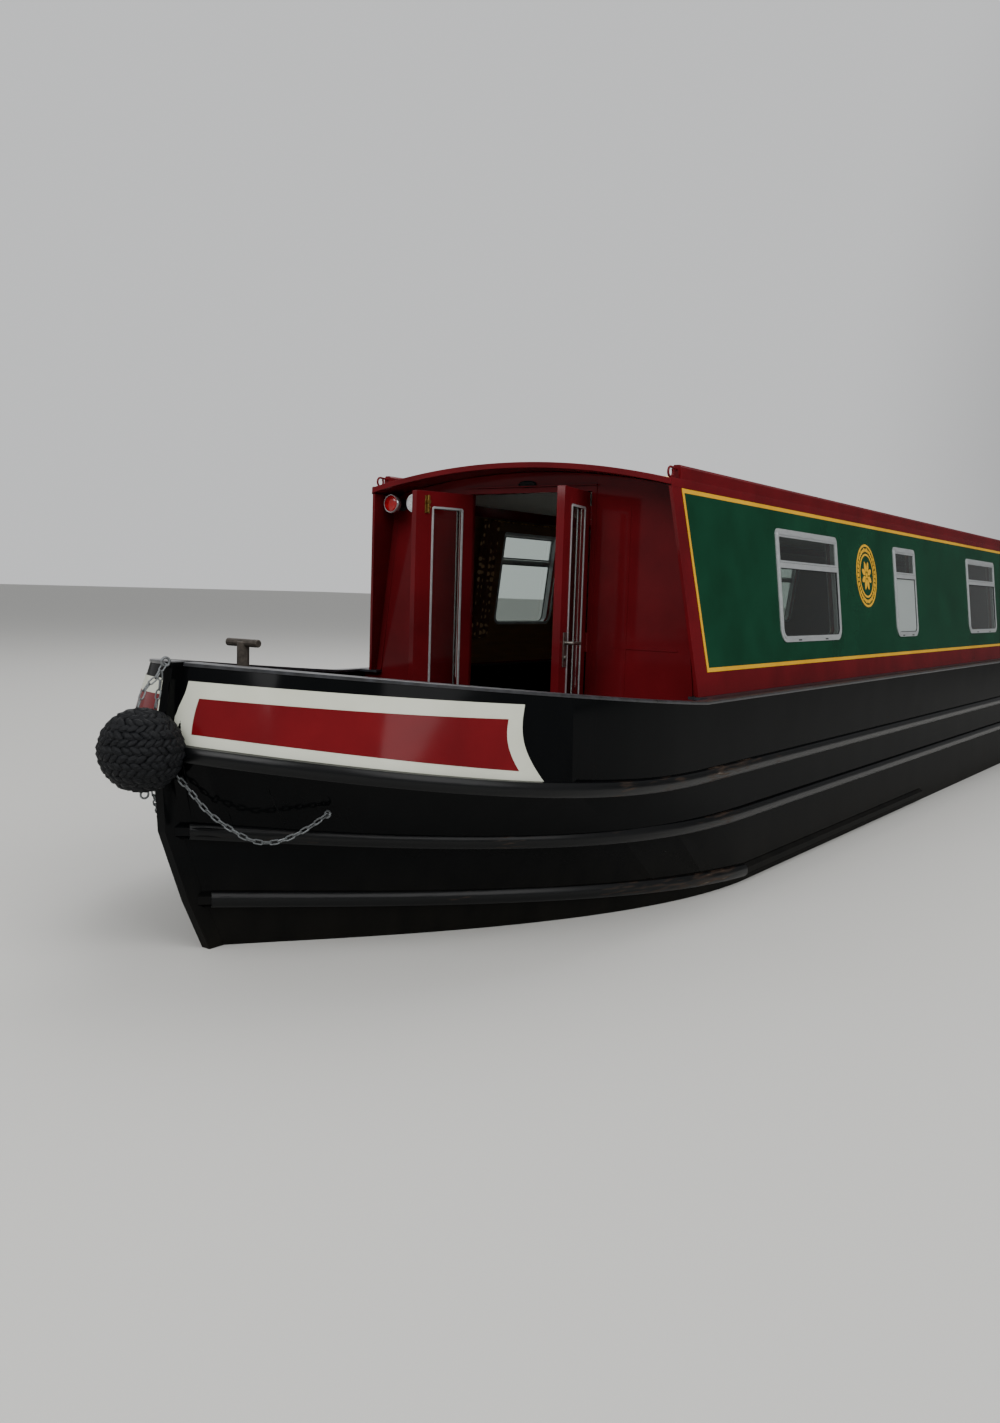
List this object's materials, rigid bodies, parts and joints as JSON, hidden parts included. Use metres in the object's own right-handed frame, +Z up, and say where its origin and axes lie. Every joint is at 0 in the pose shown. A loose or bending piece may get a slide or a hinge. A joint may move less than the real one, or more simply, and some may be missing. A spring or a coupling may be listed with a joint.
{
  "type": "narrowboat",
  "caption": "Steel canal narrowboat in crimson, green and black, with a well deck at the bow, open front doors and a cruiser stern with tiller and rail.",
  "frame": {"origin": "underside of the flat baseplate, on the centre line at mid length, so the boat stands on its baseplate; it floats with 0.45 m of hull under water", "axes": "+X forward to the bow, +Y to port, +Z up"},
  "size_m": [15.24, 2.132, 2.3863],
  "materials": {
    "hull_black": "gloss black coach enamel, worn on the rubbing strakes",
    "bitumen_steel": "dull black bitumen paint below the water",
    "cabin_red": "gloss crimson coach enamel",
    "cabin_green": "gloss mid green enamel on the side panels",
    "coach_line": "golden yellow enamel line",
    "cream_band": "cream enamel on the bow panel",
    "deck_paint": "dark grey anti-slip deck paint",
    "worn_steel": "worn, weathered bare steel",
    "chain_steel": "dull galvanised",
    "tarred_rope": "black knotted rope",
    "window_aluminium": "satin mill-finished aluminium",
    "window_glass": "clear float glass",
    "lamp_lens": "moulded lens in a chrome bezel",
    "lamp_chrome": "chromed bezel",
    "curtain_cloth": "woven patterned curtain",
    "floor_ply": "varnished ply",
    "cabin_lining": "varnished lining boards",
    "engine_paint": "engine enamel",
    "vent_brass": "polished brass",
    "bronze": "cast bronze",
    "seal_rubber": "black window seal"
  },
  "bodies": {
    "root": {"baseplate": "bitumen_steel", "skeg": "bitumen_steel", "stem_post": "hull_black", "foredeck": "deck_paint", "locker_bulkhead": "cabin_red", "well_floor": "deck_paint", "t_stud": "worn_steel", "bow_fender": "tarred_rope", "fender_chain_top": "chain_steel", "front_bulkhead": "cabin_red", "cabin_roof": "cabin_red", "cabin_floor": "floor_ply", "rear_bulkhead": "cabin_red", "stern_deck": "deck_paint", "stern_rail": "cabin_red", "stern_fender": "tarred_rope", "engine": "engine_paint", "hull_side_port": "hull_black", "rubbing_strake_port": "hull_black", "gunwale_port": "hull_black", "fender_chain_port": "chain_steel", "cabin_side_port": "cabin_red", "handrail_port": "cabin_red", "curtain_port": "curtain_cloth", "window_port_1": "window_aluminium", "window_port_2": "window_aluminium", "window_port_3": "window_aluminium", "window_port_4": "window_aluminium", "window_port_5": "window_aluminium", "dolly_port": "worn_steel", "hull_side_stbd": "hull_black", "rubbing_strake_stbd": "hull_black", "gunwale_stbd": "hull_black", "fender_chain_stbd": "chain_steel", "cabin_side_stbd": "cabin_red", "handrail_stbd": "cabin_red", "curtain_stbd": "curtain_cloth", "window_stbd_1": "window_aluminium", "window_stbd_2": "window_aluminium", "window_stbd_3": "window_aluminium", "window_stbd_4": "window_aluminium", "window_stbd_5": "window_aluminium", "dolly_stbd": "worn_steel", "lamp_red": "lamp_lens", "lamp_clear": "lamp_lens", "roof_vent_1": "vent_brass", "roof_vent_2": "vent_brass", "roof_vent_3": "vent_brass"},
    "front_door_port": {"front_door_port": "cabin_red"},
    "rear_door_port": {"rear_door_port": "cabin_red"},
    "front_door_stbd": {"front_door_stbd": "cabin_red"},
    "rear_door_stbd": {"rear_door_stbd": "cabin_red"},
    "slide_hatch": {"slide_hatch": "cabin_red"},
    "deck_hatch": {"deck_hatch": "deck_paint"},
    "locker_lid": {"locker_lid": "deck_paint"},
    "propeller": {"propeller": "bronze"},
    "steering": {"rudder": "bitumen_steel", "tiller": "vent_brass"}
  },
  "joints": [
    {"name": "front_door_port_swing", "type": "hinge", "parent": "root", "child": "front_door_port", "pos_m": [5.292, 0.343, 1.447], "axis": [0, 0, 1], "range_deg": [-102, 50]},
    {"name": "front_door_stbd_swing", "type": "hinge", "parent": "root", "child": "front_door_stbd", "pos_m": [5.292, -0.343, 1.447], "axis": [0, 0, -1], "range_deg": [-106, 42]},
    {"name": "rear_door_port_swing", "type": "hinge", "parent": "root", "child": "rear_door_port", "pos_m": [-5.555, 0.3, 1.771], "axis": [0, 0, -1], "range_deg": [0, 110]},
    {"name": "rear_door_stbd_swing", "type": "hinge", "parent": "root", "child": "rear_door_stbd", "pos_m": [-5.555, -0.3, 1.771], "axis": [0, 0, 1], "range_deg": [0, 110]},
    {"name": "slide_hatch_travel", "type": "slide", "parent": "root", "child": "slide_hatch", "axis": [1, 0, 0], "range_m": [0, 0.7]},
    {"name": "deck_hatch_lift", "type": "hinge", "parent": "root", "child": "deck_hatch", "pos_m": [-6.105, 0.353, 1.274], "axis": [-1, 0, 0], "range_deg": [0, 85]},
    {"name": "locker_lid_lift", "type": "hinge", "parent": "root", "child": "locker_lid", "pos_m": [6.903, 0, 1.3925], "axis": [0, 1, 0], "range_deg": [0, 95]},
    {"name": "propeller_spin", "type": "hinge", "parent": "root", "child": "propeller", "pos_m": [-6.8, 0, 0.23], "axis": [1, 0, 0], "continuous": true},
    {"name": "rudder_turn", "type": "hinge", "parent": "root", "child": "steering", "pos_m": [-7.08, 0, 0.23], "axis": [0, 0, 1], "range_deg": [-60, 60]}
  ]
}
